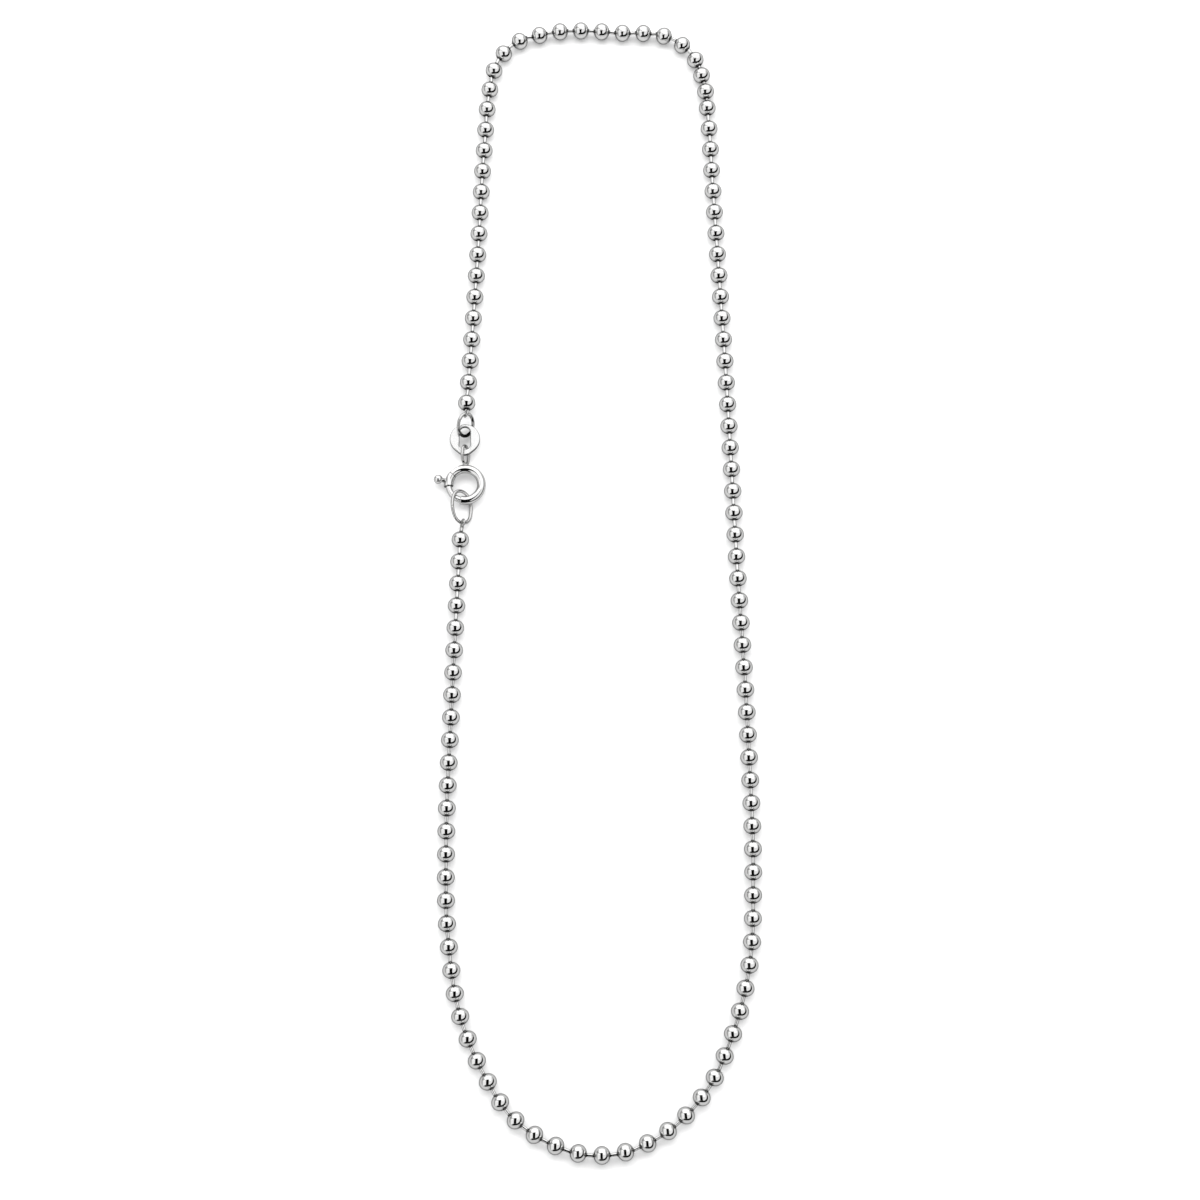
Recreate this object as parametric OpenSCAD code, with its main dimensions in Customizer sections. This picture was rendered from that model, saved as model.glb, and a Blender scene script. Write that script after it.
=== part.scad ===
// Ball chain necklace, laid down in a long closed loop.
// Hollow round beads hold each other by short wire links that have a round head inside each bead.
// A spring ring clasp, a slotted tag and two jump rings close the loop near the upper left.

/* [Beads] */
// Diameter of a bead, across the chain
bead_d = 3; // [2.6:0.1:3.4]
// Length of a bead, along the chain
bead_len = 2.92; // [2.8:0.02:2.98]
// Straight belt round the middle of a bead
bead_belt = 0.2; // [0.15:0.05:0.3]
// Wall of a hollow bead
bead_wall = 0.2; // [0.12:0.02:0.24]

/* [Links] */
// Diameter of the link wire
link_d = 0.6; // [0.45:0.05:0.7]
// Bare wire between two beads, on average
link_gap = 0.78; // [0.7:0.02:1]
// Room round the wire in a bead's hole
hole_play = 0.12; // [0.1:0.01:0.16]
// Step by which a link's head is held behind the hole's edge
head_lip = 0.08; // [0.05:0.01:0.1]
// Space between the two heads inside one bead
head_space = 0.2; // [0.12:0.02:0.3]

/* [Chain ends] */
// Wire diameter of the eye at each end of the chain
eye_wire_d = 0.3; // [0.25:0.05:0.4]
// Bare wire between the lower end bead and its eye
neck_low = 0.65; // [0.4:0.05:1]
// Bare wire between the upper end bead and its eye
neck_top = 0.08; // [0.04:0.02:0.4]
// Steepness at which the upper eye stands up
eye_pitch = 32; // [28:1:33]
// Height by which the upper end bead is lifted off the ground
end_lift = 0.45; // [0.4:0.05:0.6]
// Turn of both eyes about their own wire, away from upright
eye_turn = 30; // [15:1:45]

/* [Jump rings] */
// Wire diameter of the jump rings
jump_d = 0.55; // [0.45:0.05:0.6]
// Room round a jump ring's wire in an eye
jump_play = 0.18; // [0.16:0.01:0.22]
// Length of the lower jump ring, outside
jump_low_len = 6; // [5.6:0.1:6.4]
// Width of the lower jump ring, outside
jump_low_w = 4.4; // [4.2:0.1:4.5]
// Twist of the lower jump ring about its length, left side up
jump_low_twist = 40; // [38:1:41]
// Length of the upper jump ring, outside
jump_top_len = 4.3; // [4.1:0.1:4.6]
// Width of the upper jump ring, outside
jump_top_w = 3.8; // [3.7:0.1:4]
// Twist of the upper jump ring about its length, left side up
jump_top_twist = 46; // [45:1:47]

/* [Spring ring] */
// Radius of the ring to the middle of its tube
clasp_r = 2.7; // [2.6:0.05:3.2]
// Diameter of the ring's tube
tube_d = 1.4; // [1.3:0.05:1.45]
// Diameter of the sleeve at the tube's mouth
sleeve_d = 1.55; // [1.5:0.05:1.7]
// Diameter of the sliding bolt
bolt_d = 1; // [0.85:0.05:1]
// Running room round the bolt
bolt_play = 0.07; // [0.05:0.01:0.08]
// Diameter of the knob
knob_d = 1.5; // [1.3:0.1:1.7]
// Diameter of the neck between bolt and knob
neck_d = 0.7; // [0.5:0.05:0.8]
// Space between the sleeve and the knob
knob_lift = 0.3; // [0.2:0.05:0.5]
// Angle through which the bolt slides back
bolt_travel = 55; // [40:1:56]
// Reach of the ring's own eye beyond the tube
clasp_eye_len = 3.5; // [3.3:0.1:4]
// Height of the ring's own eye, outside
clasp_eye_w = 2.8; // [2.6:0.1:2.9]
// Wire diameter of the ring's own eye
clasp_eye_wire = 0.5; // [0.4:0.05:0.55]
// Turn of the ring's own eye, away from upright
clasp_eye_turn = 25; // [15:1:30]
// Slack between the lower jump ring and the ring's tube
clasp_slack = 0.65; // [0.5:0.05:0.8]

/* [Tag] */
// Width of the tag
tag_w = 5; // [4.6:0.1:5.6]
// Length of the tag
tag_len = 5.3; // [5.2:0.1:5.8]
// Thickness of the tag
tag_t = 0.6; // [0.4:0.05:0.7]
// Radius of the tag's narrow lower end
tag_end_r = 1.5; // [1.3:0.1:1.8]
// Width of the slot in the tag
slot_w = 1.8; // [1.7:0.1:2]
// Bar of metal left below the slot
bar_low = 0.95; // [0.8:0.05:1.1]
// Bar of metal left above the slot
bar_top = 0.5; // [0.4:0.05:0.7]
// Slack between the tag's lower bar and the ring's eye
tag_slack = 0.4; // [0.3:0.05:0.8]
// Slack between the upper jump ring and the tag's upper bar
ring_slack = 1.15; // [0.8:0.05:1.2]
// Depth of the upper jump ring's lower end below the middle of the tag
ring_drop = 0.15; // [0.1:0.05:0.2]

/* [Hidden] */
$fn = 24;

// Angles round the spring ring, counter-clockwise from +X
mouth_a = 187;
nose_a = 255;
sleeve_a = 142;
knob_a = 168;
bore_end_a = 60;
bolt_tail_a = 10;
nose_socket_a = 7;
tip_in_a = 4;

// Depth to which the ring's eye is soldered into the tube
solder_in = 0.1;
// Roundness of a loop's ends, and how much thinner its long sides are and how far they reach into the ends
end_round = 0.9;
side_thin = 0.02;
side_reach = 0.1;
// Points on each round end of the tag's outline and of its slot
round_steps = 16;

// Heights and radii that follow from the sizes above
mid_z = bead_d / 2;
hole_d = link_d + 2 * hole_play;
head_d = hole_d + 2 * head_lip;
hole_at = bead_len / 2 - bead_wall / 2;
head_in = hole_at - (head_d + head_space) / 2;
eye_hole_d = jump_d + 2 * jump_play;
eye_r = (eye_hole_d + eye_wire_d) / 2;
eye_out_r = eye_r + eye_wire_d / 2;
bore_d = bolt_d + 2 * bolt_play;
knob_r = clasp_r + sleeve_d / 2 + knob_lift + knob_d / 2;

// Vector of length one in the same direction
function unit(v) = v / norm(v);

// Directions of the two eyes' necks, from the clasp into the chain, and of the upper end bead's own axis
low_dir = unit([-0.12, -1, 0]);
top_dir = [0, cos(eye_pitch), -sin(eye_pitch)];
top_axis = [0, cos(eye_pitch / 2), -sin(eye_pitch / 2)];

// Way in which the lower jump ring leans, and sideways shifts of the pieces that lie above it
jump_low_dir = unit([-0.07, 1, 0]);
clasp_dx = 0.7;
tag_dx = -0.1;
eye_top_dx = 0.25;

// Places of the clasp's pieces, one after the other, up from the lower end bead
end_low = [-22.3, 4.7, mid_z];
eye_low_at = end_low - low_dir * (bead_len / 2 + neck_low + eye_out_r);
jump_low_top = eye_low_at + jump_low_dir * (jump_low_len - jump_d);
clasp_out_r = clasp_r + tube_d / 2;
clasp_at = jump_low_top + [clasp_dx, clasp_r - tube_d / 2 - jump_d / 2 - clasp_slack, 0];
tag_low_y = clasp_out_r + clasp_eye_len - clasp_eye_wire - tag_slack - bar_low;
tag_at = clasp_at + [tag_dx, tag_low_y, 0];
jump_top_low = tag_at + [0, tag_len - bar_top - ring_slack - jump_d / 2, -ring_drop];
eye_to_bead = top_dir * (bead_wall / 2 + neck_top + eye_out_r) + top_axis * hole_at;
jump_top_rise = end_lift + ring_drop - eye_to_bead.z;
jump_top_run = sqrt(pow(jump_top_len - jump_d, 2) - pow(jump_top_rise, 2));
eye_top_at = jump_top_low + [eye_top_dx, jump_top_run, jump_top_rise];
end_top = eye_top_at + eye_to_bead;

// Route of the bead centres, seen from above, from the upper end bead round to the lower one
ROUTE = concat(
    [[end_top.x, end_top.y]],
    [
        [-20, 53], [-19, 73.5], [-18, 85], [-17, 89], [-14, 92.5], [-8, 94.5], [5, 94.5],
        [11.5, 94], [16, 91], [18, 86.5], [19, 78.5], [19.5, 69], [21.5, 33.5], [23, 1],
        [24.5, -28.5], [25, -53], [24.5, -63.5], [21.5, -76], [17.5, -84.5], [10.5, -91.5],
        [3.5, -94.5], [-2.5, -94.5], [-7, -93], [-13, -89], [-17.5, -82.5], [-21.5, -73],
        [-23.5, -61], [-24, -44], [-23.5, -25.5]
    ],
    [[end_low.x, end_low.y]]
);
route_last = len(ROUTE) - 1;
route_steps = 12;
// Share of the links counted off, and share of the route that they cover: the upper bends are pushed together
SPREAD = [[0, 0], [0.13, 0.132], [0.245, 0.243], [0.273, 0.266], [0.41, 0.406], [0.69, 0.688], [1, 1]];

// Smooth curve through the route's points, timed by the distance between them
function chord(i) = norm(ROUTE[i + 1] - ROUTE[i]);
function slope(i) = (ROUTE[i + 1] - ROUTE[i]) / chord(i);
function heading(i) =
    i == 0 ? 2 * slope(0) - heading(1) :
    i == route_last ? 2 * slope(i - 1) - heading(i - 1) :
    (slope(i - 1) * chord(i) + slope(i) * chord(i - 1)) / (chord(i - 1) + chord(i));
function on_route(i, u) =
    (1 + 2 * u) * pow(1 - u, 2) * ROUTE[i]
    + u * pow(1 - u, 2) * chord(i) * heading(i)
    + u * u * (3 - 2 * u) * ROUTE[i + 1]
    + u * u * (u - 1) * chord(i) * heading(i + 1);
TRACK = [
    for (i = [0:route_last - 1]) for (k = [0:route_steps - 1]) on_route(i, k / route_steps),
    ROUTE[route_last]
];
RUN = [
    for (i = 0, s = 0; i < len(TRACK); s = s + norm(TRACK[min(i + 1, len(TRACK) - 1)] - TRACK[i]), i = i + 1) s
];
TRACK_X = [for (i = [0:len(TRACK) - 1]) [RUN[i], TRACK[i].x]];
TRACK_Y = [for (i = [0:len(TRACK) - 1]) [RUN[i], TRACK[i].y]];
run_len = RUN[len(RUN) - 1];

link_count = round(run_len / (bead_len + link_gap));
BEADS = [
    for (i = [0:link_count])
        let (s = lookup(i / link_count, SPREAD) * run_len)
        [lookup(s, TRACK_X), lookup(s, TRACK_Y), i == 0 ? mid_z + end_lift : mid_z]
];
// Each bead lies in line with the middle of its two links' directions
STEPS = [for (i = [0:link_count - 1]) unit(BEADS[i + 1] - BEADS[i])];
AXES = [
    for (i = [0:link_count])
        i == 0 ? top_axis :
        i == link_count ? unit(STEPS[i - 1] - low_dir) :
        unit(STEPS[i - 1] + STEPS[i])
];

// Turns a child that stands along +Z into the direction v
module along(v) {
    rotate([0, acos(v.z / norm(v)), atan2(v.y, v.x)]) children();
}

// Closed wire loop in the XY plane, outside length along Y, made of four arcs
module wire_loop(length, width, wire) {
    a = (length - wire) / 2;
    b = (width - wire) / 2;
    if (a - b < 0.05) {
        rotate_extrude() translate([a, 0]) circle(d = wire);
    } else {
        end_r = b * end_round;
        side_r = (b * b + pow(a - end_r, 2) - end_r * end_r) / (2 * (b - end_r));
        half = atan2(a - end_r, side_r - b);
        side = half + side_reach / side_r * 180 / PI;
        for (s = [0, 180]) rotate(s) {
            translate([b - side_r, 0]) rotate(-side)
                rotate_extrude(angle = 2 * side) translate([side_r, 0]) circle(d = wire - side_thin);
            translate([0, a - end_r]) rotate(half)
                rotate_extrude(angle = 180 - 2 * half) translate([end_r, 0]) circle(d = wire);
        }
    }
}

// Puts a loop, whose length is along Y, between two points, twisted about its length
module between(from, to, twist) {
    d = to - from;
    translate((from + to) / 2)
        rotate([0, 0, -atan2(d.x, d.y)])
            rotate([atan2(d.z, norm([d.x, d.y])), 0, 0])
                rotate([0, twist, 0]) children();
}

// Part of the spring ring's round, between whole degrees, with its children as the tube's profile
module arc(from, to) {
    rotate_extrude(start = from, angle = to - from) translate([clasp_r, 0]) children();
}

// Profile of the hollow tube, cut open on the outer side where it has a slot
module tube_profile(d, slot_h = 0) {
    difference() {
        circle(d = d);
        circle(d = bore_d);
        if (slot_h > 0) translate([0, -slot_h / 2]) square([d, slot_h]);
    }
}

// Half a bead's profile: two arcs joined by the straight belt
module bead_profile(inset) {
    arc_r = (bead_len - bead_belt) / 2;
    r = arc_r - inset;
    translate([bead_d / 2 - arc_r, 0]) {
        for (s = [-1, 1]) translate([0, s * bead_belt / 2]) circle(r = r);
        translate([0, -bead_belt / 2]) square([r, bead_belt]);
    }
}

// Hollow bead along Z, with a hole at each end
module bead() {
    rotate_extrude() difference() {
        intersection() {
            bead_profile(0);
            translate([hole_d / 2, -bead_len]) square([bead_d, 2 * bead_len]);
        }
        bead_profile(bead_wall);
    }
}

module beads() {
    color("silver") for (i = [0:link_count]) translate(BEADS[i]) along(AXES[i]) bead();
}

// One link: a wire from head to head, through the holes of two neighbours
module link(from, to) {
    v = unit(to - from);
    start = from - v * head_in;
    translate(start) along(v) cylinder(d = link_d, h = norm(to - from) + 2 * head_in);
    translate(start) sphere(d = head_d);
    translate(to + v * head_in) sphere(d = head_d);
}

module links() {
    color("silver") for (i = [0:link_count - 1])
        link(BEADS[i] + AXES[i] * hole_at, BEADS[i + 1] - AXES[i + 1] * hole_at);
}

// Eye at a chain end: a head inside the end bead, a neck through its hole and a small loop in line with its ring
module end_eye(hole, eye, turn) {
    v = unit(eye - hole);
    start = hole - v * head_in;
    translate(start) sphere(d = head_d);
    translate(start) along(v) cylinder(d = link_d, h = norm(eye - hole) + head_in - eye_r);
    between(eye - v, eye + v, 90 + turn) wire_loop(2 * eye_out_r, 2 * eye_out_r, eye_wire_d);
}

module end_eye_low() {
    color("silver") end_eye(BEADS[link_count] + AXES[link_count] * hole_at, eye_low_at, eye_turn);
}

module end_eye_top() {
    color("silver") end_eye(BEADS[0] - AXES[0] * hole_at, eye_top_at, -eye_turn);
}

module jump_ring_low() {
    color("silver") between(eye_low_at, jump_low_top, jump_low_twist)
        wire_loop(jump_low_len, jump_low_w, jump_d);
}

module jump_ring_top() {
    color("silver") between(jump_top_low, eye_top_at, jump_top_twist)
        wire_loop(jump_top_len, jump_top_w, jump_d);
}

// Body of the clasp: a bent tube with a sleeve at its mouth, a slot for the knob's neck and a soldered eye
module spring_ring() {
    slot_h = neck_d + 2 * hole_play;
    slot_more = ceil(slot_h / 2 / clasp_out_r * 180 / PI);
    slot_from = knob_a - bolt_travel - slot_more;
    slot_to = knob_a + slot_more;
    nose_from = nose_a - 360;
    eye_from = clasp_out_r - solder_in;
    eye_to = clasp_out_r + clasp_eye_len;
    color("silver") translate(clasp_at) {
        arc(nose_from, nose_from + nose_socket_a) tube_profile(tube_d);
        arc(nose_from + nose_socket_a, bore_end_a) circle(d = tube_d);
        arc(bore_end_a, slot_from) tube_profile(tube_d);
        arc(slot_from, sleeve_a) tube_profile(tube_d, slot_h);
        arc(sleeve_a, slot_to) tube_profile(sleeve_d, slot_h);
        arc(slot_to, mouth_a) tube_profile(sleeve_d);
        between([0, eye_from, 0], [0, eye_to, 0], 90 - clasp_eye_turn)
            wire_loop(eye_to - eye_from, clasp_eye_w, clasp_eye_wire);
    }
}

// Sliding bolt with the knob that draws it back
module bolt() {
    color("silver") translate(clasp_at) {
        arc(knob_a - bolt_tail_a, nose_a + tip_in_a) circle(d = bolt_d);
        rotate(knob_a) translate([clasp_r, 0, 0]) rotate([0, 90, 0]) cylinder(d = neck_d, h = knob_r - clasp_r);
        rotate(knob_a) translate([knob_r, 0, 0]) sphere(d = knob_d);
    }
}

// Outline along Y of two round ends joined by straight sides
function capsule(low_r, low_y, top_r, top_y) =
    let (lean = asin((top_r - low_r) / (top_y - low_y)))
    concat(
        [for (k = [0:round_steps]) let (a = -lean + k * (180 + 2 * lean) / round_steps)
            [top_r * cos(a), top_y + top_r * sin(a)]],
        [for (k = [0:round_steps]) let (a = 180 + lean + k * (180 - 2 * lean) / round_steps)
            [low_r * cos(a), low_y + low_r * sin(a)]]
    );

// Flat tag, narrower at its lower end, with a long slot
module tag() {
    slot_r = slot_w / 2;
    color("silver") translate(tag_at) translate([0, 0, -tag_t / 2]) linear_extrude(tag_t) difference() {
        polygon(capsule(tag_end_r, tag_end_r, tag_w / 2, tag_len - tag_w / 2));
        polygon(capsule(slot_r, bar_low + slot_r, slot_r, tag_len - bar_top - slot_r));
    }
}

beads();
links();
end_eye_low();
end_eye_top();
jump_ring_low();
jump_ring_top();
spring_ring();
bolt();
tag();
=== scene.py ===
"""Looks of the ball chain necklace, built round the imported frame."""

import math

import bpy
import numpy as np
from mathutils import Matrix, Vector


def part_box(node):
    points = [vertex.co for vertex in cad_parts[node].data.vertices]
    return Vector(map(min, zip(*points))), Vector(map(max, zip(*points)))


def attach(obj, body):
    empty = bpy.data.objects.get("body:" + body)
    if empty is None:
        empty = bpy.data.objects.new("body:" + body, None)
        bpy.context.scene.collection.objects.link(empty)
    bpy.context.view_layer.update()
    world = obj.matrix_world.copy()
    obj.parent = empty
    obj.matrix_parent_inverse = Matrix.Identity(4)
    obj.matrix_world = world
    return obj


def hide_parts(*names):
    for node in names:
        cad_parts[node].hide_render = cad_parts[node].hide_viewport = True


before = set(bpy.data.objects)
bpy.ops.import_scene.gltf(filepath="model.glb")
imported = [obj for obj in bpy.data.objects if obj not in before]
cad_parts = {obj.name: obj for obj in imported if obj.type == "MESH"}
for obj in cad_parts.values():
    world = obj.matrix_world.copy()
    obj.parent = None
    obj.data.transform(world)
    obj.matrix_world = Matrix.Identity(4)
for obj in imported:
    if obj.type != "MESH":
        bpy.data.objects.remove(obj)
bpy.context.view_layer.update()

MM = 0.001

# The beads' outside and holes as the photograph shows them, in millimetres: the source's own beads are a little
# larger. BEAD_LEN is the length from pole to pole before the holes are cut. Painted shade darkens the metal's colour
# round a hole, from HOLE_SHADE, a distance from the bead's axis, to the hole's edge.
BEAD_D = 2.88
BEAD_LEN = 2.66
HOLE_D = 0.78
END_HOLE_D = 0.84
HOLE_SHADE = 0.8

# Sizes repeated from the part's source, in millimetres and degrees
BEAD_WALL = 0.2
LINK_D = 0.6
HEAD_D = 1.0
HOLE_AT = 1.36
HEAD_IN = 0.76
EYE_WIRE = 0.3
EYE_R = 0.605
JUMP_D = 0.55
CLASP_R = 2.7
TUBE_D = 1.4
SLEEVE_D = 1.55
BORE_D = 1.14
BOLT_D = 1.0
KNOB_D = 1.5
KNOB_R = 4.525
NECK_D = 0.7
TAG_T = 0.6
MOUTH_A, NOSE_A, SLEEVE_A, KNOB_A = 187, -105, 142, 168
BORE_END_A, BOLT_TAIL_A, SOCKET_A, TIP_IN_A = 60, 10, 7, 4
SLOT_FROM, SLOT_TO, SLOT_H = 105, 176, 0.94

# Places repeated from the part's source
EYE_LOW_AT = (-21.9586, 7.5446, 1.5)
JUMP_LOW_TOP = (-22.3392, 12.9813, 1.5)
CLASP_AT = (-21.6392, 14.0563, 1.5)
TAG_AT = (-21.7392, 19.1063, 1.5)
JUMP_TOP_LOW = (-21.7392, 22.4813, 1.35)
EYE_TOP_AT = (-21.4892, 25.9310, 2.8203)


# Mesh helpers

def unit(v):
    return np.asarray(v, float) / np.linalg.norm(v)


def turn(axis, degrees):
    """Rotation matrix about x, y or z."""
    c, s = math.cos(math.radians(degrees)), math.sin(math.radians(degrees))
    return {
        "x": np.array([[1, 0, 0], [0, c, -s], [0, s, c]]),
        "y": np.array([[c, 0, s], [0, 1, 0], [-s, 0, c]]),
        "z": np.array([[c, -s, 0], [s, c, 0], [0, 0, 1]]),
    }[axis]


def upright_to(v):
    """Rotation matrix that lays a shape built along +Z into the direction v."""
    z = unit(v)
    x = np.cross((0.0, 0.0, 1.0), z) if abs(z[2]) < 0.99 else np.array((1.0, 0.0, 0.0))
    x = unit(x)
    return np.stack([x, np.cross(z, x), z], 1)


def between(points, start, end, twist):
    """Places a loop, whose length is along Y, between two points, twisted about its length."""
    start, end = np.array(start), np.array(end)
    d = end - start
    lay = (
        turn("z", -math.degrees(math.atan2(d[0], d[1])))
        @ turn("x", math.degrees(math.atan2(d[2], math.hypot(d[0], d[1]))))
        @ turn("y", twist)
    )
    return points @ lay.T + (start + end) / 2


class Shape:
    """Vertices in millimetres, faces and, for each vertex, how far its colour is darkened by painted shade or by a
    seam, gathered from several parts.
    """

    def __init__(self):
        self.points, self.faces, self.dark = [], [], []
        self.count = 0

    def add(self, points, faces, dark=None):
        points = np.asarray(points, float)
        self.points.append(points)
        self.faces.append([tuple(int(k) + self.count for k in f) for f in faces])
        self.dark.append(np.zeros(len(points)) if dark is None else np.asarray(dark, float))
        self.count += len(points)

    def build(self, name, node, body="necklace", sharp=None):
        mesh = bpy.data.meshes.new(name)
        points = np.concatenate(self.points) * MM
        faces = [f for part in self.faces for f in part]
        mesh.from_pydata(points.tolist(), [], faces)
        mesh.update()
        mesh.polygons.foreach_set("use_smooth", [True] * len(mesh.polygons))
        if sharp:
            mesh.set_sharp_from_angle(angle=math.radians(sharp))
        # Per vertex darkening of the colour: painted shade in hollows and at holes, and the jump rings' seams
        layer = mesh.attributes.new("painted_shade_and_seam", "FLOAT", "POINT")
        layer.data.foreach_set("value", np.concatenate(self.dark).astype(np.float32))
        piece = bpy.data.objects.new(name, mesh)
        bpy.context.scene.collection.objects.link(piece)
        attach(piece, body)
        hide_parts(node)
        return piece


def grid_faces(rows, columns, close_rows, close_columns):
    """Quads of a grid of points whose rows and columns may close on themselves."""
    faces = []
    for i in range(rows if close_rows else rows - 1):
        a, b = i * columns, (i + 1) % rows * columns
        for j in range(columns if close_columns else columns - 1):
            k = (j + 1) % columns
            faces.append((a + j, a + k, b + k, b + j))
    return faces


def cap_faces(rows, columns):
    """The two end faces of an open grid whose columns close on themselves."""
    return [tuple(range(columns))[::-1], tuple((rows - 1) * columns + k for k in range(columns))]


def lathe(profile, segments, close):
    """Turned shape about Z. The profile's points are (radius, height), from the bottom's inside outwards and up."""
    profile = np.asarray(profile, float)
    a = np.arange(segments) * 2 * math.pi / segments
    r, z = profile[:, :1], profile[:, 1:]
    points = np.stack([r * np.cos(a), r * np.sin(a), z + 0 * a], 2).reshape(-1, 3)
    faces = grid_faces(len(profile), segments, close, True)
    if not close:
        faces += cap_faces(len(profile), segments)
    return points, faces


def tube(path, radii, normal, segments, close):
    """Round wire along a flat path, with the given radius at each of its points."""
    path = np.asarray(path, float)
    radii = np.broadcast_to(np.asarray(radii, float), (len(path),))
    if close:
        ahead, behind = np.roll(path, -1, 0), np.roll(path, 1, 0)
    else:
        ahead = np.concatenate([path[1:], path[-1:]])
        behind = np.concatenate([path[:1], path[:-1]])
    tangent = ahead - behind
    tangent /= np.linalg.norm(tangent, axis=1)[:, None]
    up = unit(normal)
    side = np.cross(tangent, up)
    side /= np.linalg.norm(side, axis=1)[:, None]
    a = np.arange(segments) * 2 * math.pi / segments
    ring = np.cos(a)[None, :, None] * side[:, None, :] + np.sin(a)[None, :, None] * up[None, None, :]
    points = (path[:, None, :] + radii[:, None, None] * ring).reshape(-1, 3)
    faces = grid_faces(len(path), segments, close, True)
    if not close:
        faces += cap_faces(len(path), segments)
    return points, faces


def bent_lathe(profile, segments):
    """Round tube bent about the Z axis: the profile's points are (angle along the ring, radius of the tube)."""
    profile = np.asarray(profile, float)
    phi = np.arange(segments) * 2 * math.pi / segments
    t = np.radians(profile[:, :1])
    out = CLASP_R + profile[:, 1:] * np.cos(phi)
    up = profile[:, 1:] * np.sin(phi)
    points = np.stack([out * np.cos(t), out * np.sin(t), up], 2).reshape(-1, 3)
    faces = grid_faces(len(profile), segments, False, True) + cap_faces(len(profile), segments)
    return points, [f[::-1] for f in faces]


def arc_points(centre, radius, start, end, steps):
    """Points on an arc in the plane, both ends included."""
    a = np.radians(np.linspace(start, end, steps + 1))
    return np.stack([centre[0] + radius * np.cos(a), centre[1] + radius * np.sin(a)], 1)


def loop_path(length, width, wire, steps):
    """Middle line of a closed wire loop, made of four arcs of so many steps each as in the part's source.

    Length, along Y, and width are the loop's outside.
    """
    a, b = (length - wire) / 2, (width - wire) / 2
    if a - b < 0.05:
        flat = arc_points((0, 0), a, 0, 360, 4 * steps)[:-1]
    else:
        end_r = 0.9 * b
        side_r = (b * b + (a - end_r) ** 2 - end_r ** 2) / (2 * (b - end_r))
        half = math.degrees(math.atan2(a - end_r, side_r - b))
        right = arc_points((b - side_r, 0), side_r, -half, half, steps)[:-1]
        top = arc_points((0, a - end_r), end_r, half, 180 - half, steps)[:-1]
        flat = np.concatenate([right, top, -right, -top])
    return np.concatenate([flat, np.zeros((len(flat), 1))], 1)


# Places and axes of the beads, read from the frame's own beads

def frame_beads():
    """Centres and axes of the beads, in the order of the chain from its upper end to its lower one."""
    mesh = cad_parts["beads"].data
    co = np.zeros(len(mesh.vertices) * 3)
    mesh.vertices.foreach_get("co", co)
    co = co.reshape(-1, 3) / MM
    _, first, same = np.unique(np.round(co, 4), axis=0, return_index=True, return_inverse=True)
    points, same = co[first], same.reshape(-1)
    mesh.calc_loop_triangles()
    tri = np.zeros(len(mesh.loop_triangles) * 3, int)
    mesh.loop_triangles.foreach_get("vertices", tri)
    tri = same[tri].reshape(-1, 3)

    # The loose beads: the lowest vertex number spreads over the triangles that share vertices
    label = np.arange(len(points))
    while True:
        low = label[tri].min(1)
        fresh = label.copy()
        for k in range(3):
            np.minimum.at(fresh, tri[:, k], low)
        fresh = fresh[fresh]
        if (fresh == label).all():
            break
        label = fresh

    # A bead's axis is the main direction whose spread stands apart from the other two
    found = []
    for k in np.unique(label):
        own = points[label == k]
        centre = own.mean(0)
        values, axes = np.linalg.eigh(np.cov((own - centre).T))
        odd = 0 if values[1] - values[0] > values[2] - values[1] else 2
        found.append((centre, axes[:, odd]))
    eye = (np.array(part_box("end_eye_top")[0]) + np.array(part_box("end_eye_top")[1])) / 2 / MM
    order, here = [], eye
    while found:
        k = min(range(len(found)), key=lambda n: np.linalg.norm(found[n][0] - here))
        here = found[k][0]
        order.append(found.pop(k))
    centres = np.array([c for c, _ in order])
    axes = np.array([a for _, a in order])
    ahead = np.concatenate([centres[1:] - centres[:-1], centres[-1:] - centres[-2:-1]])
    axes *= np.sign((axes * ahead).sum(1))[:, None]
    return centres, axes


CENTRES, AXES = frame_beads()


# Pieces

def bead_profile(hole_d):
    """Closed profile of a slightly flattened hollow bead, with a rolled edge at each hole, and its painted shade
    values.
    """
    r, roll, squeeze = BEAD_D / 2, 0.015, BEAD_LEN / BEAD_D
    rim_r = hole_d / 2 + roll
    last = math.degrees(math.acos(rim_r / r))
    outside = arc_points((0, 0), r, -last, last, 22) * (1, squeeze)
    edge = arc_points((rim_r, outside[-1][1] - roll), roll, 110, 180, 1)
    inner_r = r - BEAD_WALL
    first = math.degrees(math.acos(hole_d / 2 / inner_r))
    inside = arc_points((0, 0), inner_r, first, -first, 4) * (1, squeeze)
    profile = np.concatenate([outside, edge, inside, edge[::-1] * (1, -1)])
    # Painted shade round the hole, darkest at its edge; the rim and the inside are painted fully dark
    shade_and_seam_dark = np.clip((HOLE_SHADE - outside[:, 0]) / (HOLE_SHADE - rim_r), 0, 1) ** 0.8
    return profile, np.concatenate([shade_and_seam_dark, [1] * (len(profile) - len(outside))])


def make_beads():
    segments = 28
    shape = Shape()
    for k, (centre, axis) in enumerate(zip(CENTRES, AXES)):
        profile, dark = bead_profile(END_HOLE_D if k in (0, len(CENTRES) - 1) else HOLE_D)
        points, faces = lathe(profile, segments, True)
        shape.add(points @ upright_to(axis).T + centre, faces, np.repeat(dark, segments))
    return shape.build("bead_shells", "beads")


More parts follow.
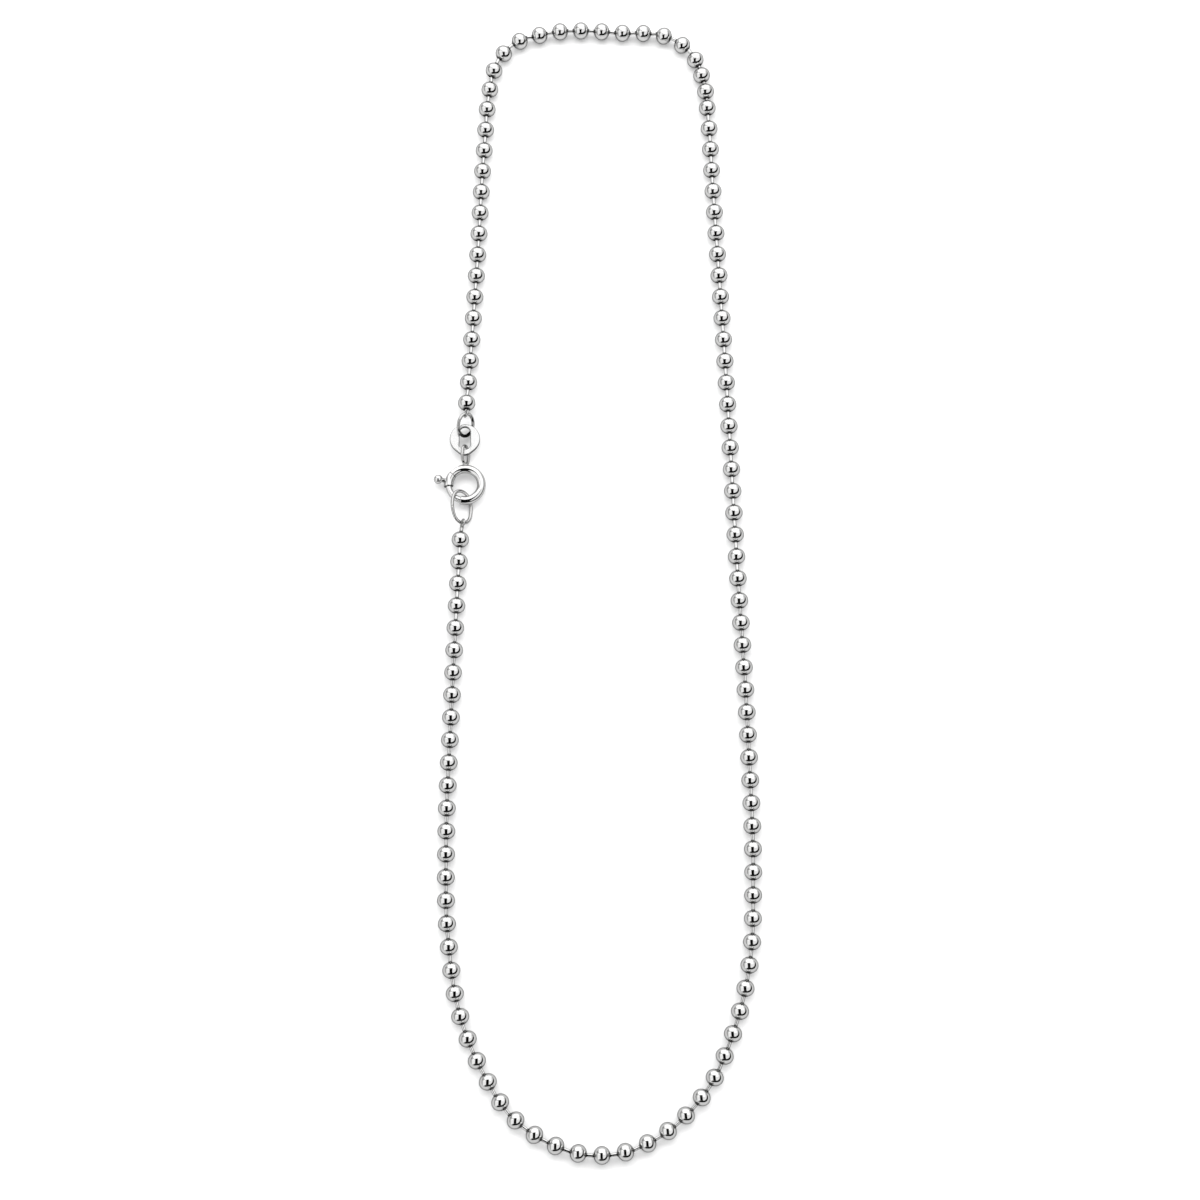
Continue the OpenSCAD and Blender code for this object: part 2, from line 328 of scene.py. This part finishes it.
def wire_profile(length, head_ends):
    """Profile of a link, a plain wire with a round head at one or both ends, and its painted shade values.

    The wire is painted dark inside the bead, as shade, and brightens over the first quarter of a millimetre outside
    its mouth.
    """
    head, r = HEAD_D / 2, LINK_D / 2
    meet = math.degrees(math.asin(r / head))
    turns = np.radians(np.linspace(4, 180 - meet, 6))
    ball = np.stack([head * np.sin(turns), -head * np.cos(turns)], 1)
    mouth = HEAD_IN + BEAD_LEN / 2 - HOLE_AT - 0.04
    near = np.concatenate([ball, [(r, mouth + z) for z in (-0.1, 0, 0.04, 0.08, 0.13, 0.19, 0.25)]])
    # Painted shade: dark inside the hole, fading out just past its mouth
    dark = [1] * 8 + [0.95, 0.7, 0.4, 0.15, 0]
    if head_ends == 2:
        return np.concatenate([near, near[::-1] * (1, -1) + (0, length)]), dark + dark[::-1]
    return np.concatenate([near, [(r, length)]]), dark + [0]


def make_links():
    segments = 16
    shape = Shape()
    starts = CENTRES[:-1] + AXES[:-1] * HOLE_AT
    ends = CENTRES[1:] - AXES[1:] * HOLE_AT
    for start, end in zip(starts, ends):
        way = unit(end - start)
        length = np.linalg.norm(end - start) + 2 * HEAD_IN
        profile, dark = wire_profile(length, 2)
        points, faces = lathe(profile, segments, False)
        shape.add(points @ upright_to(way).T + start - way * HEAD_IN, faces, np.repeat(dark, segments))
    return shape.build("link_wires", "links")


def make_end_eye(name, hole, eye, twist):
    """A headed wire out of the chain's last hole with a round eye on it, twisted about the wire."""
    segments, steps = 20, 14
    shape = Shape()
    hole, eye = np.array(hole), np.array(eye)
    way = unit(eye - hole)
    length = np.linalg.norm(eye - hole) + HEAD_IN - EYE_R
    profile, dark = wire_profile(length, 1)
    points, faces = lathe(profile, segments, False)
    shape.add(points @ upright_to(way).T + hole - way * HEAD_IN, faces, np.repeat(dark, segments))
    outer = 2 * EYE_R + EYE_WIRE
    path = between(loop_path(outer, outer, EYE_WIRE, steps), eye - way, eye + way, twist)
    shape.add(*tube(path, EYE_WIRE / 2, np.cross(path[0] - eye, path[steps] - eye), 14, True))
    return shape.build(name + "_wire", name)


def make_jump_ring(name, low, top, twist, length, width, foot_shade=0.0):
    """Closed jump ring whose two cut ends meet in a fine seam.

    foot_shade is painted shade that darkens its lower end, inside the tag's slot.
    """
    segments, steps, seam = 24, 20, 50
    flat = loop_path(length, width, JUMP_D, steps)
    radii = np.full(len(flat), JUMP_D / 2)
    # Painted shade on the lower end of the ring, where it passes through the tag's slot
    dark = foot_shade * np.clip((-0.5 - flat[:, 1] / (length / 2)) / 0.2, 0, 1)
    path = between(flat, low, top, twist)
    joint = [path[seam] * (1 - t) + path[seam + 1] * t for t in (0.3, 0.38, 0.42, 0.46, 0.54)]
    line = np.concatenate([path[:seam], joint, path[seam + 1:]])
    radii = np.concatenate([radii[:seam], np.array([1, 0.985, 0.93, 0.985, 1]) * JUMP_D / 2, radii[seam + 1:]])
    dark = np.concatenate([dark[:seam], [0, 0.3, 1, 0.3, 0], dark[seam + 1:]])
    normal = np.cross(path[steps] - path[0], path[2 * steps] - path[steps])
    shape = Shape()
    points, faces = tube(line, radii, normal, segments, True)
    shape.add(points, faces, np.repeat(dark, segments))
    return shape.build(name + "_wire", name)


def lip(angle, inner, outer, towards, roll=0.07, steps=4):
    """Rounded end of a tube wall at an angle of the ring, from its outside to its inside."""
    step = math.degrees(roll / CLASP_R) * towards
    turns = np.radians(np.linspace(0, 90, steps))
    out = [(angle - step * (1 - math.sin(t)), outer - roll * (1 - math.cos(t))) for t in turns]
    back = [(angle - step * (1 - math.cos(t)), inner + roll * (1 - math.sin(t))) for t in turns]
    return out + back


def make_spring_ring():
    tube_r, sleeve_r, bore_r = TUBE_D / 2, SLEEVE_D / 2, BORE_D / 2
    # The dark values are painted shade: in the socket and bore, on the lips and at the sleeve's step
    profile, dark = [], []

    def put(points, value):
        profile.extend(points)
        dark.extend([value] * len(points))

    put([(NOSE_A + SOCKET_A, 0.02), (NOSE_A + SOCKET_A, bore_r * 0.9), (NOSE_A + SOCKET_A - 1, bore_r)], 1)
    put([(NOSE_A + 3, bore_r)], 0.9)
    put(lip(NOSE_A, bore_r, tube_r, -1)[::-1], 0.1)
    put([(a, tube_r) for a in np.linspace(NOSE_A + 4, SLEEVE_A - 3, 100)], 0)
    put([(SLEEVE_A - 1.4, tube_r), (SLEEVE_A - 0.5, tube_r + 0.004)], 0.8)
    put([(SLEEVE_A, tube_r + 0.03), (SLEEVE_A + 0.4, sleeve_r - 0.02)], 0.3)
    put([(SLEEVE_A + 1.2, sleeve_r), (SLEEVE_A + 2, sleeve_r)], 0)
    put([(a, sleeve_r) for a in np.linspace(SLEEVE_A + 4, MOUTH_A - 4, 20)], 0)
    put(lip(MOUTH_A, bore_r, sleeve_r, 1), 0.6)
    put([(MOUTH_A - 3, bore_r)], 0.9)
    put([(a, bore_r) for a in np.linspace(MOUTH_A - 6, BORE_END_A + 1, 50)], 1)
    put([(BORE_END_A, bore_r * 0.9), (BORE_END_A, 0.02)], 1)
    segments = 40
    points, faces = bent_lathe(profile, segments)
    shape = Shape()
    shape.add(points + CLASP_AT, faces, np.repeat(dark, segments))
    ring = shape.build("spring_ring_tube", "spring_ring", sharp=50)

    # The knob's slot is cut from the outer side, with round ends
    middle, outer = CLASP_R + 0.6, CLASP_R + 1.2
    cap = math.degrees(SLOT_H / 2 / middle)
    turns = np.radians(np.linspace(10, 90, 8))
    first = [SLOT_FROM + cap * (1 - math.cos(t)) for t in turns]
    straight = list(np.linspace(SLOT_FROM + cap, SLOT_TO - cap, 24))[1:-1]
    angles = first + straight + [SLOT_FROM + SLOT_TO - a for a in first[::-1]]
    widths = [SLOT_H / 2 * math.sin(t) for t in turns]
    widths = widths + [SLOT_H / 2] * len(straight) + widths[::-1]
    box = []
    for angle, w in zip(angles, widths):
        t = math.radians(angle)
        for r, z in ((CLASP_R, -w), (outer, -w), (outer, w), (CLASP_R, w)):
            box.append((r * math.cos(t), r * math.sin(t), z))
    faces = grid_faces(len(angles), 4, False, True) + cap_faces(len(angles), 4)
    mesh = bpy.data.meshes.new("slot_cutter")
    mesh.from_pydata(((np.array(box) + CLASP_AT) * MM).tolist(), [], [f[::-1] for f in faces])
    mesh.update()
    cutter = bpy.data.objects.new("slot_cutter", mesh)
    bpy.context.scene.collection.objects.link(cutter)
    cut = ring.modifiers.new("slot", "BOOLEAN")
    cut.operation, cut.object, cut.solver = "DIFFERENCE", cutter, "EXACT"
    apply_modifiers(ring)
    bpy.data.objects.remove(cutter)
    ring.data.set_sharp_from_angle(angle=math.radians(50))

    # The eye and the fillet of solder between it and the tube
    wire, steps = 0.5, 20
    shape = Shape()
    low, top = np.array([0, 3.3, 0]) + CLASP_AT, np.array([0, 6.9, 0]) + CLASP_AT
    path = between(loop_path(3.6, 2.8, wire, steps), low, top, 65)
    normal = np.cross(path[steps] - path[0], path[2 * steps] - path[steps])
    shape.add(*tube(path, wire / 2, normal, 20, True))
    profile = [
        (0.02, -0.3), (0.62, -0.3), (0.62, 0.02), (0.56, 0.07), (0.46, 0.12),
        (0.37, 0.19), (0.31, 0.28), (0.27, 0.4), (0.02, 0.4),
    ]
    points, faces = lathe(profile, 28, False)
    points = points * (0.9, 0.62, 1) @ upright_to((0, 1, 0)).T
    shape.add(points + np.array([0, 3.36, 0]) + CLASP_AT, faces)
    eye = shape.build("spring_ring_eye", "spring_ring")
    return ring, eye


def apply_modifiers(piece):
    """Replaces a piece's mesh by what its modifiers make of it."""
    bpy.context.view_layer.update()
    graph = bpy.context.evaluated_depsgraph_get()
    mesh = bpy.data.meshes.new_from_object(piece.evaluated_get(graph))
    old = piece.data
    piece.modifiers.clear()
    piece.data = mesh
    mesh.name = piece.name
    bpy.data.meshes.remove(old)


def make_bolt():
    r, roll = BOLT_D / 2, 0.12
    tail, tip = KNOB_A - BOLT_TAIL_A, NOSE_A + 360 + TIP_IN_A
    step = math.degrees(roll / CLASP_R)
    ends = np.radians(np.linspace(0, 90, 5))
    first = [(tail + step * (1 - math.sin(t)), r - roll * (1 - math.cos(math.pi / 2 - t))) for t in ends]
    last = [(tail + tip - a, q) for a, q in first[::-1]]
    profile = [(tail, 0.02)] + first + [(a, r) for a in np.linspace(tail + 4, tip - 4, 40)] + last + [(tip, 0.02)]
    points, faces = bent_lathe(profile, 28)
    shape = Shape()
    shape.add(points + CLASP_AT, faces)

    # Neck and knob, turned in one piece, with a small fillet where they meet
    segments = 32
    ball, neck = KNOB_D / 2, NECK_D / 2
    reach = KNOB_R - CLASP_R
    meet = 180 - math.degrees(math.asin((neck + 0.06) / ball))
    stem = [(neck, 0), (neck, 0.5), (neck, reach - ball - 0.02), (neck + 0.015, reach - ball + 0.04)]
    turns = np.radians(np.linspace(meet, 1, 22))
    profile = stem + [(ball * math.sin(a), reach + ball * math.cos(a)) for a in turns]
    # Painted shade on the neck, down in the slot
    dark = [0.6, 0.6, 0.5, 0.3] + [0] * len(turns)
    points, faces = lathe(profile, segments, False)
    way = (math.cos(math.radians(KNOB_A)), math.sin(math.radians(KNOB_A)), 0)
    shape.add(points @ upright_to(way).T + np.array(way) * CLASP_R + CLASP_AT, faces, np.repeat(dark, segments))
    return shape.build("bolt_and_knob", "bolt", body="bolt", sharp=60)


def capsule(low_r, low_y, top_r, top_y, steps):
    """Outline along Y of two round ends joined by straight sides, with its outward directions."""
    lean = math.degrees(math.asin((top_r - low_r) / (top_y - low_y)))
    top = np.radians(np.linspace(-lean, 180 + lean, steps + 1))
    low = np.radians(np.linspace(180 + lean, 360 - lean, steps + 1))
    out = np.concatenate([np.stack([np.cos(top), np.sin(top)], 1), np.stack([np.cos(low), np.sin(low)], 1)])
    line = np.concatenate([
        np.stack([top_r * np.cos(top), top_y + top_r * np.sin(top)], 1),
        np.stack([low_r * np.cos(low), low_y + low_r * np.sin(low)], 1),
    ])
    return line, out


def spread(line, out, parts):
    """The same outline with its two straight sides cut into parts."""
    half = len(line) // 2
    share = np.arange(1, parts)[:, None] / parts
    sides = [
        (line[half - 1] * (1 - share) + line[half] * share, np.repeat(out[half:half + 1], parts - 1, 0)),
        (line[-1] * (1 - share) + line[0] * share, np.repeat(out[:1], parts - 1, 0)),
    ]
    line = np.concatenate([line[:half], sides[0][0], line[half:], sides[1][0]])
    out = np.concatenate([out[:half], sides[0][1], out[half:], sides[1][1]])
    return line, out


def make_tag():
    """Flat plate with a slot: rows of points run round the slot, over the rolled edges and round the outside."""
    # edge_shade paints shade on the middle of the rolled edges, fading out within shade_depth of the faces
    roll, edge_shade, shade_depth = 0.15, 0.75, 0.04
    outer = spread(*capsule(1.5, 1.5, 2.5, 2.8, 40), 8)
    slot = spread(*capsule(0.9, 1.85, 0.9, 3.9, 40), 8)
    turns = np.radians(np.linspace(0, 90, 5))
    rows, dark = [], []
    for line, out, way in ((*outer, 1), (*slot, -1)):
        up = [(-roll - 0.06, TAG_T / 2)]
        up += [(-roll * (1 - math.sin(t)), TAG_T / 2 - roll * (1 - math.cos(t))) for t in turns]
        profile = up + [(d, -z) for d, z in up[::-1]]
        if way < 0:
            profile = profile[::-1]
        for d, z in profile:
            rows.append(np.concatenate([line + out * d * way, np.full((len(line), 1), z)], 1))
            dark += [edge_shade * min(max((TAG_T / 2 - abs(z)) / shade_depth, 0), 1)] * len(line)
    n = len(outer[0])
    shape = Shape()
    points = np.concatenate(rows)
    faces = [f[::-1] for f in grid_faces(len(rows), n, True, True)]
    shape.add(points + np.array(TAG_AT), faces, dark)
    return shape.build("tag_plate", "tag")


# Materials

def empty_tree(owner):
    """The node tree of a material or world, without its nodes."""
    tree = owner.node_tree
    tree.nodes.clear()
    return tree


def silver(
    name, grain=900.0, stretch=(1, 1, 1), rough=(0.015, 0.04), bump=0.04, tone=(0.96, 0.96, 0.955), edge=0.04,
):
    """Polished silver: faint clouding, fine polishing marks, and painted shade in the hollows and round the holes,
    darkening the colour, as the seams do too.

    Grain is the scale of the marks and edge the tint of the metal where it is seen at a low angle.
    """
    material = bpy.data.materials.new(name)
    material.use_nodes = True
    tree = empty_tree(material)
    new, link = tree.nodes.new, tree.links.new
    out = new("ShaderNodeOutputMaterial")
    shader = new("ShaderNodeBsdfPrincipled")
    link(shader.outputs["BSDF"], out.inputs["Surface"])
    shader.inputs["Metallic"].default_value = 1.0
    shader.inputs["Specular Tint"].default_value = (edge, edge, edge, 1)
    place = new("ShaderNodeTexCoord")
    mapping = new("ShaderNodeMapping")
    mapping.inputs["Scale"].default_value = stretch
    link(place.outputs["Object"], mapping.inputs["Vector"])

    cloud = new("ShaderNodeTexNoise")
    cloud.inputs["Scale"].default_value = 420.0
    cloud.inputs["Detail"].default_value = 3.0
    link(place.outputs["Object"], cloud.inputs["Vector"])
    marks = new("ShaderNodeTexNoise")
    marks.inputs["Scale"].default_value = grain
    marks.inputs["Detail"].default_value = 6.0
    marks.inputs["Roughness"].default_value = 0.7
    link(mapping.outputs["Vector"], marks.inputs["Vector"])

    tint = new("ShaderNodeValToRGB")
    tint.color_ramp.elements[0].position = 0.3
    tint.color_ramp.elements[0].color = (tone[0] * 0.965, tone[1] * 0.965, tone[2] * 0.965, 1)
    tint.color_ramp.elements[1].position = 0.7
    tint.color_ramp.elements[1].color = (*tone, 1)
    link(cloud.outputs["Fac"], tint.inputs["Fac"])
    # The attribute mixes painted shade, and the seams' dark line, into the base colour
    painted_shade_and_seam = new("ShaderNodeAttribute")
    painted_shade_and_seam.attribute_name = "painted_shade_and_seam"
    shade_and_seam_dark = new("ShaderNodeMix")
    shade_and_seam_dark.data_type = "RGBA"
    shade_and_seam_dark.inputs["B"].default_value = (0.012, 0.011, 0.01, 1)
    link(painted_shade_and_seam.outputs["Fac"], shade_and_seam_dark.inputs["Factor"])
    link(tint.outputs["Color"], shade_and_seam_dark.inputs["A"])
    link(shade_and_seam_dark.outputs["Result"], shader.inputs["Base Color"])

    gloss = new("ShaderNodeMapRange")
    gloss.inputs["From Min"].default_value = 0.3
    gloss.inputs["From Max"].default_value = 0.75
    gloss.inputs["To Min"].default_value = rough[0]
    gloss.inputs["To Max"].default_value = rough[1]
    link(marks.outputs["Fac"], gloss.inputs["Value"])
    link(gloss.outputs["Result"], shader.inputs["Roughness"])

    relief = new("ShaderNodeBump")
    relief.inputs["Strength"].default_value = bump
    relief.inputs["Distance"].default_value = 0.00001
    link(marks.outputs["Fac"], relief.inputs["Height"])
    link(relief.outputs["Normal"], shader.inputs["Normal"])
    return material


def plain(name, colour, rough=0.9):
    material = bpy.data.materials.new(name)
    material.use_nodes = True
    shader = material.node_tree.nodes["Principled BSDF"]
    shader.inputs["Base Color"].default_value = (*colour, 1)
    shader.inputs["Roughness"].default_value = rough
    shader.inputs["Specular IOR Level"].default_value = 0.0
    return material


# Studio: surroundings as soft panels by direction, a floor and a dark card round the camera

class Field:
    """A number or vector in a node tree that can be reckoned with."""

    tree = None

    def __init__(self, socket):
        self.socket = socket

    @classmethod
    def node(cls, kind, operation, inputs, output=0):
        node = cls.tree.nodes.new(kind)
        node.operation = operation
        for k, v in enumerate(inputs):
            if isinstance(v, Field):
                cls.tree.links.new(v.socket, node.inputs[k])
            else:
                node.inputs[k].default_value = v
        return Field(node.outputs[output])

    def __add__(self, o): return self.node("ShaderNodeMath", "ADD", (self, o))
    def __mul__(self, o): return self.node("ShaderNodeMath", "MULTIPLY", (self, o))
    def least(self, o): return self.node("ShaderNodeMath", "MINIMUM", (self, o))

    def step(self, edge, soft, before, after):
        """A smooth step at an edge, from one value to another."""
        node = self.tree.nodes.new("ShaderNodeMapRange")
        node.interpolation_type = "SMOOTHSTEP"
        self.tree.links.new(self.socket, node.inputs["Value"])
        node.inputs["From Min"].default_value = edge - soft
        node.inputs["From Max"].default_value = edge + soft
        node.inputs["To Min"].default_value = before
        node.inputs["To Max"].default_value = after
        return Field(node.outputs["Result"])

    def above(self, edge, soft):
        return self.step(edge, soft, 0.0, 1.0)

    def below(self, edge, soft):
        return self.step(edge, soft, 1.0, 0.0)

    def toward(self, target, share):
        """Mix from this number to the target."""
        node = self.tree.nodes.new("ShaderNodeMix")
        node.data_type = "FLOAT"
        self.tree.links.new(share.socket, node.inputs[0])
        self.tree.links.new(self.socket, node.inputs[2])
        node.inputs[3].default_value = target
        return Field(node.outputs[0])


def mirrored_surroundings():
    """Brightness of what the metal mirrors, on a map of the sky.

    u runs to the right and v to the back, in degrees from straight up.
    """
    place = Field.tree.nodes.new("ShaderNodeTexCoord")
    way = Field(place.outputs["Generated"])
    vector = "ShaderNodeVectorMath"
    flat = Field.node(vector, "MULTIPLY", (way, (1, 1, 0)))
    flat = Field.node(vector, "NORMALIZE", (flat,))
    rise = Field.node(vector, "DOT_PRODUCT", (way, (0, 0, 1)), 1)
    zenith = Field.node("ShaderNodeMath", "ARCCOSINE", (rise,)) * (180 / math.pi)
    chart = Field.tree.nodes.new(vector)
    chart.operation = "SCALE"
    Field.tree.links.new(flat.socket, chart.inputs[0])
    Field.tree.links.new(zenith.socket, chart.inputs["Scale"])
    chart = Field(chart.outputs[0])
    parts = Field.tree.nodes.new("ShaderNodeSeparateXYZ")
    Field.tree.links.new(chart.socket, parts.inputs[0])
    u, v = Field(parts.outputs[0]), Field(parts.outputs[1])

    def patch(x0, x1, y0, y1, soft):
        return u.above(x0, soft) * u.below(x1, soft) * v.above(y0, soft) * v.below(y1, soft)

    def near(points, half, soft):
        """1 within half of a bent line, by the smallest distance to its pieces."""
        best = None
        for (ax, ay), (bx, by) in zip(points[:-1], points[1:]):
            dx, dy = bx - ax, by - ay
            size = dx * dx + dy * dy
            own = Field.node(vector, "SUBTRACT", (chart, (ax, ay, 0)))
            share = Field.node(vector, "DOT_PRODUCT", (own, (dx / size, dy / size, 0)), 1)
            clamp = Field.tree.nodes.new("ShaderNodeClamp")
            Field.tree.links.new(share.socket, clamp.inputs[0])
            foot = Field.tree.nodes.new(vector)
            foot.operation = "SCALE"
            foot.inputs[0].default_value = (dx, dy, 0)
            Field.tree.links.new(clamp.outputs[0], foot.inputs["Scale"])
            gap = Field.node(vector, "DISTANCE", (own, Field(foot.outputs[0])), 1)
            best = gap if best is None else best.least(gap)
        return best.below(half, soft)

    # The room, dimmer at the far left, with pale panels left and right and a bright one behind
    light = u.below(-50.0, 20.0) * -0.28 + 0.6
    light = light.toward(0.86, patch(-68, -16, -56, 22, 7))
    light = light.toward(0.82, patch(10, 64, -52, 40, 7))
    light = light.toward(1.2, patch(-48, 46, 8, 110, 7))

    # Darker streaks, a black band along the right and a black foot in front
    light = light.toward(0.4, near([(-20, 12), (-36, 24), (-56, 36)], 4.0, 6.0))
    light = light.toward(0.08, near([(-74, 42), (-82, 52)], 9.0, 8.0))
    band = near([(58, -46), (76, -20), (82, 10), (82, 40), (74, 66)], 13.0, 4.0)
    light = light.toward(0.01, band)
    foot = near([(-30, -62), (0, -62), (28, -60), (46, -53), (60, -42)], 13.0, 4.0)
    return light.toward(0.0, foot)


def studio_world():
    """Two skies: the panels that the metal mirrors, and a plain soft light from the back and above for all else."""
    world = bpy.data.worlds.new("studio")
    bpy.context.scene.world = world
    world.use_nodes = True
    tree = empty_tree(world)
    Field.tree = tree
    new, link = tree.nodes.new, tree.links.new
    mirrored = new("ShaderNodeBackground")
    mirrored.inputs["Color"].default_value = (1, 1, 1, 1)
    link(mirrored_surroundings().socket, mirrored.inputs["Strength"])

    place = new("ShaderNodeTexCoord")
    way, high = Field(place.outputs["Generated"]), unit((0, 0.2, 1)).tolist()
    slope = Field.node("ShaderNodeVectorMath", "DOT_PRODUCT", (way, high), 1)
    lit = new("ShaderNodeBackground")
    link((slope.above(0.5, 0.5) * 0.9 + 0.85).socket, lit.inputs["Strength"])
    seen = new("ShaderNodeBackground")

    rays = new("ShaderNodeLightPath")
    first, second, out = new("ShaderNodeMixShader"), new("ShaderNodeMixShader"), new("ShaderNodeOutputWorld")
    link(rays.outputs["Is Glossy Ray"], first.inputs[0])
    link(lit.outputs[0], first.inputs[1])
    link(mirrored.outputs[0], first.inputs[2])
    link(rays.outputs["Is Camera Ray"], second.inputs[0])
    link(first.outputs[0], second.inputs[1])
    link(seen.outputs[0], second.inputs[2])
    link(second.outputs[0], out.inputs["Surface"])


def sheet(name, corners, material):
    """One flat face of the studio, from corners in millimetres."""
    mesh = bpy.data.meshes.new(name)
    mesh.from_pydata([tuple(c * MM for c in p) for p in corners], [], [tuple(range(len(corners)))])
    mesh.update()
    mesh.materials.append(material)
    piece = bpy.data.objects.new(name, mesh)
    bpy.context.scene.collection.objects.link(piece)
    return piece


def floor_paper():
    """White paper, a little greyer in the metal's reflections than it is to the eye."""
    white, mirrored = (0.8, 0.8, 0.8), (0.38, 0.38, 0.38)
    material = plain("floor_white", white)
    tree = material.node_tree
    rays = tree.nodes.new("ShaderNodeLightPath")
    shade = tree.nodes.new("ShaderNodeMix")
    shade.data_type = "RGBA"
    shade.inputs["A"].default_value = (*white, 1)
    shade.inputs["B"].default_value = (*mirrored, 1)
    tree.links.new(rays.outputs["Is Glossy Ray"], shade.inputs["Factor"])
    tree.links.new(shade.outputs["Result"], tree.nodes["Principled BSDF"].inputs["Base Color"])
    return material


def studio():
    studio_world()
    reach, low = 2500, -0.02
    corners = [(-reach, -reach, low), (reach, -reach, low), (reach, reach, low), (-reach, reach, low)]
    sheet("floor", corners, floor_paper())

    # The card: half its width at several places along Y, about a middle a little to the left
    halves = [(150, -450), (106, -220), (101, 0), (108, 35), (134, 58), (134, 70)]
    middle, high = -31, 316
    right = [(middle + half, y, high) for half, y in halves]
    left = [(middle - half, y, high) for half, y in halves[::-1]]
    card = sheet("camera_card", right + left, plain("card_black", (0.002, 0.002, 0.002)))
    card.visible_camera = False
    card.visible_diffuse = False
    card.visible_shadow = False
    card.visible_transmission = False

    # A soft box behind and above, which makes the narrow shadows in front of the cross runs
    box = bpy.data.lights.new("soft_box", "AREA")
    box.shape, box.size, box.size_y, box.energy = "RECTANGLE", 2.4, 0.35, 8.3
    above = bpy.data.objects.new("soft_box", box)
    back, up = 0.335, 0.608
    above.location = (0, back, up)
    above.rotation_euler = (-math.atan2(back, up), 0, 0)
    above.visible_glossy = False
    bpy.context.scene.collection.objects.link(above)

    camera = bpy.data.cameras.new("camera")
    camera.lens, camera.sensor_width, camera.clip_start, camera.clip_end = 90, 36, 0.01, 20
    eye = bpy.data.objects.new("camera", camera)
    tilt, away = math.radians(14), 489.4
    x, y, z = 0.6, -5.5, 1.5  # the point in the middle of the picture
    eye.rotation_euler = (tilt, 0, 0)
    eye.location = (x * MM, (y - away * math.sin(tilt)) * MM, (z + away * math.cos(tilt)) * MM)
    bpy.context.scene.collection.objects.link(eye)
    bpy.context.scene.camera = eye
    bpy.context.scene.view_settings.view_transform = "Standard"
    bpy.context.scene.view_settings.look = "None"


studio()

pieces = [
    make_beads(),
    make_links(),
    make_end_eye("end_eye_low", CENTRES[-1] + AXES[-1] * HOLE_AT, EYE_LOW_AT, 120),
    make_end_eye("end_eye_top", CENTRES[0] - AXES[0] * HOLE_AT, EYE_TOP_AT, 60),
    make_jump_ring("jump_ring_low", EYE_LOW_AT, JUMP_LOW_TOP, 40, 6.0, 4.4),
    make_jump_ring("jump_ring_top", JUMP_TOP_LOW, EYE_TOP_AT, 46, 4.3, 3.8, 0.95),
    *make_spring_ring(),
    make_bolt(),
    make_tag(),
]
finishes = {
    "bead_shells": silver("bead_silver"),
    "tag_plate": silver("tag_silver", grain=700.0, stretch=(1, 14, 1), rough=(0.22, 0.32), bump=0.15),
}
drawn = {"grain": 1500.0, "rough": (0.02, 0.05), "bump": 0.05, "edge": 0.0}
# ring_silver is the same silver with a darker tone: painted shade for the rings' darker look in their reflections
finishes.update(dict.fromkeys(
    ["end_eye_low_wire", "end_eye_top_wire", "jump_ring_low_wire", "jump_ring_top_wire", "spring_ring_eye"],
    silver("ring_silver", tone=(0.73, 0.73, 0.725), **drawn),
))
wire_silver = silver("wire_silver", **drawn)
for piece in pieces:
    piece.data.materials.clear()
    piece.data.materials.append(finishes.get(piece.name, wire_silver))
